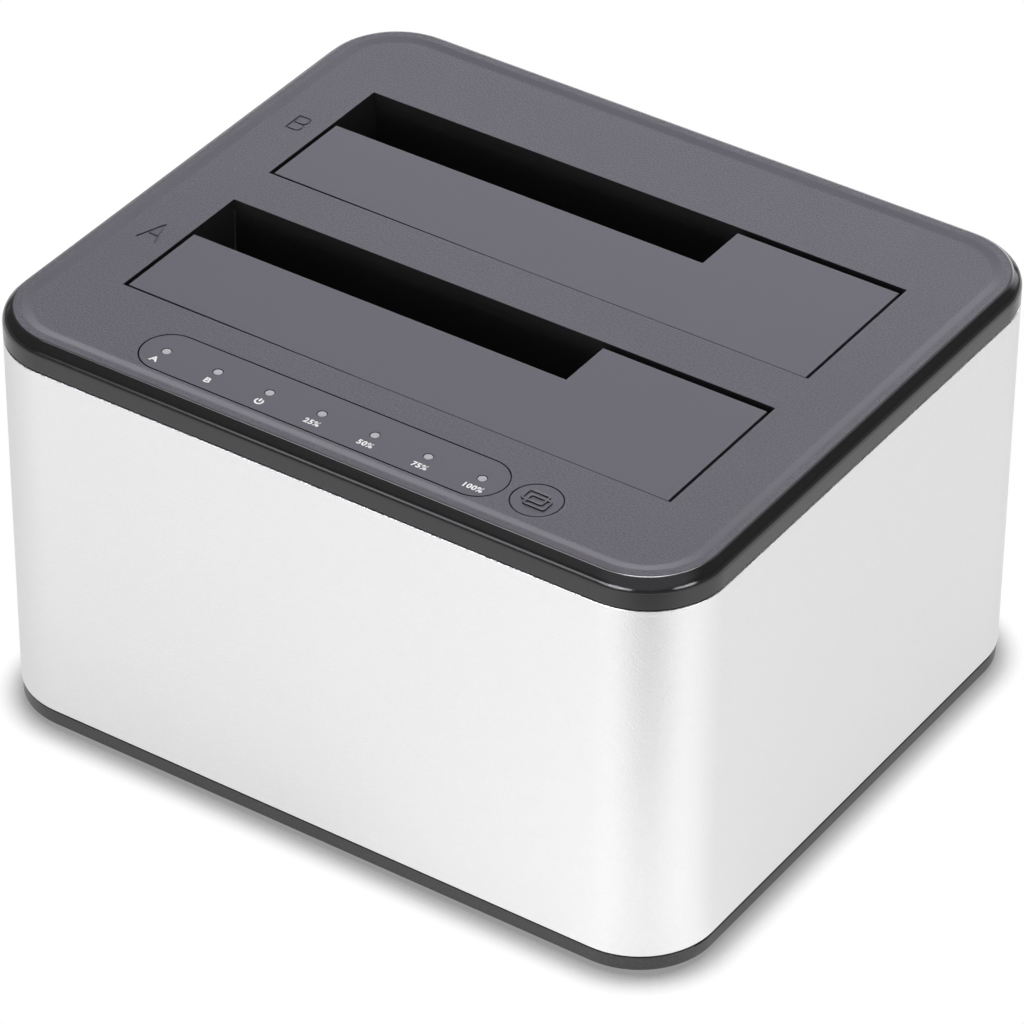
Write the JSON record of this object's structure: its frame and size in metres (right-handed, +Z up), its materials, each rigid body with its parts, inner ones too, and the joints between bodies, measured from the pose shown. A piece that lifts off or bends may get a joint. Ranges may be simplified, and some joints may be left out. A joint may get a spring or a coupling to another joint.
{
  "type": "hard drive docking station",
  "caption": "Upright docking station that takes bare drives in side-by-side bays with sprung flaps, in a metal sleeve with plastic cover and base, lights and a copy button.",
  "frame": {"origin": "centre of the footprint, on the surface that the feet stand on", "axes": "+X along the mouths to the right as seen from the front, +Y to the rear ports, +Z up out of the bays"},
  "size_m": [0.1334, 0.113, 0.0774],
  "materials": {
    "satin_aluminium": "bead-blasted, clear anodised",
    "cover_plastic": "fine spark texture on the panel, polished on the edge",
    "base_plastic": "fine spark texture",
    "flap_plastic": "smooth satin",
    "black_plastic": "matt moulded",
    "connector_plastic": "moulded",
    "blue_plastic": "moulded",
    "header_plastic": "moulded",
    "cable_jacket": "flat vinyl",
    "lead_jacket": "vinyl",
    "clear_plastic": "milky clear",
    "circuit_board": "solder mask over glass laminate",
    "can_metal": "drawn can",
    "steel": "zinc plated",
    "rubber": "matt"
  },
  "bodies": {
    "housing": {"sleeve": "satin_aluminium", "top_cover": "cover_plastic", "base_tray": "base_plastic", "rubber_feet": "rubber", "base_screws": "steel", "drive_well_a": "black_plastic", "drive_well_b": "black_plastic", "well_screws": "steel", "hinge_pin_a": "steel", "hinge_pin_b": "steel", "flap_spring_a": "steel", "flap_spring_b": "steel", "indicator_panel": "flap_plastic", "light_pipe": "clear_plastic", "led_board": "circuit_board", "leds": "clear_plastic", "led_board_screws": "steel", "tact_switch": "steel", "main_board": "circuit_board", "board_screws": "steel", "sata_connector_a": "connector_plastic", "sata_connector_b": "connector_plastic", "bridge_chip": "connector_plastic", "memory_chips": "connector_plastic", "capacitors": "can_metal", "inductors": "connector_plastic", "ribbon_cable": "cable_jacket", "ribbon_headers": "header_plastic", "port_panel": "black_plastic", "usb_socket": "steel", "usb_insulator": "blue_plastic", "dc_jack": "connector_plastic", "dc_pin": "steel", "power_switch": "connector_plastic", "switch_leads": "lead_jacket"},
    "flap_a": {"flap_a": "flap_plastic"},
    "flap_b": {"flap_b": "flap_plastic"},
    "button": {"clone_button": "flap_plastic", "switch_plunger": "black_plastic"},
    "rocker": {"power_rocker": "connector_plastic"}
  },
  "joints": [
    {"name": "flap_a_hinge", "type": "hinge", "parent": "housing", "child": "flap_a", "pos_m": [0, -0.03515, 0.07345], "axis": [-1, 0, 0], "range_deg": [0, 88], "stiffness_Nm_per_rad": 0.004, "springref_deg": -57.3, "deforming": ["flap_spring_a"]},
    {"name": "flap_b_hinge", "type": "hinge", "parent": "housing", "child": "flap_b", "pos_m": [0, 0.00445, 0.07345], "axis": [-1, 0, 0], "range_deg": [0, 88], "stiffness_Nm_per_rad": 0.004, "springref_deg": -57.3, "deforming": ["flap_spring_b"]},
    {"name": "button_press", "type": "slide", "parent": "housing", "child": "button", "axis": [0, 0, -1], "range_m": [0, 0.0008], "stiffness_N_per_m": 500, "springref_m": -0.002},
    {"name": "rocker_tilt", "type": "hinge", "parent": "housing", "child": "rocker", "pos_m": [0.024, 0.0516, 0.02065], "axis": [0, 0, 1], "range_deg": [0, 16]}
  ]
}
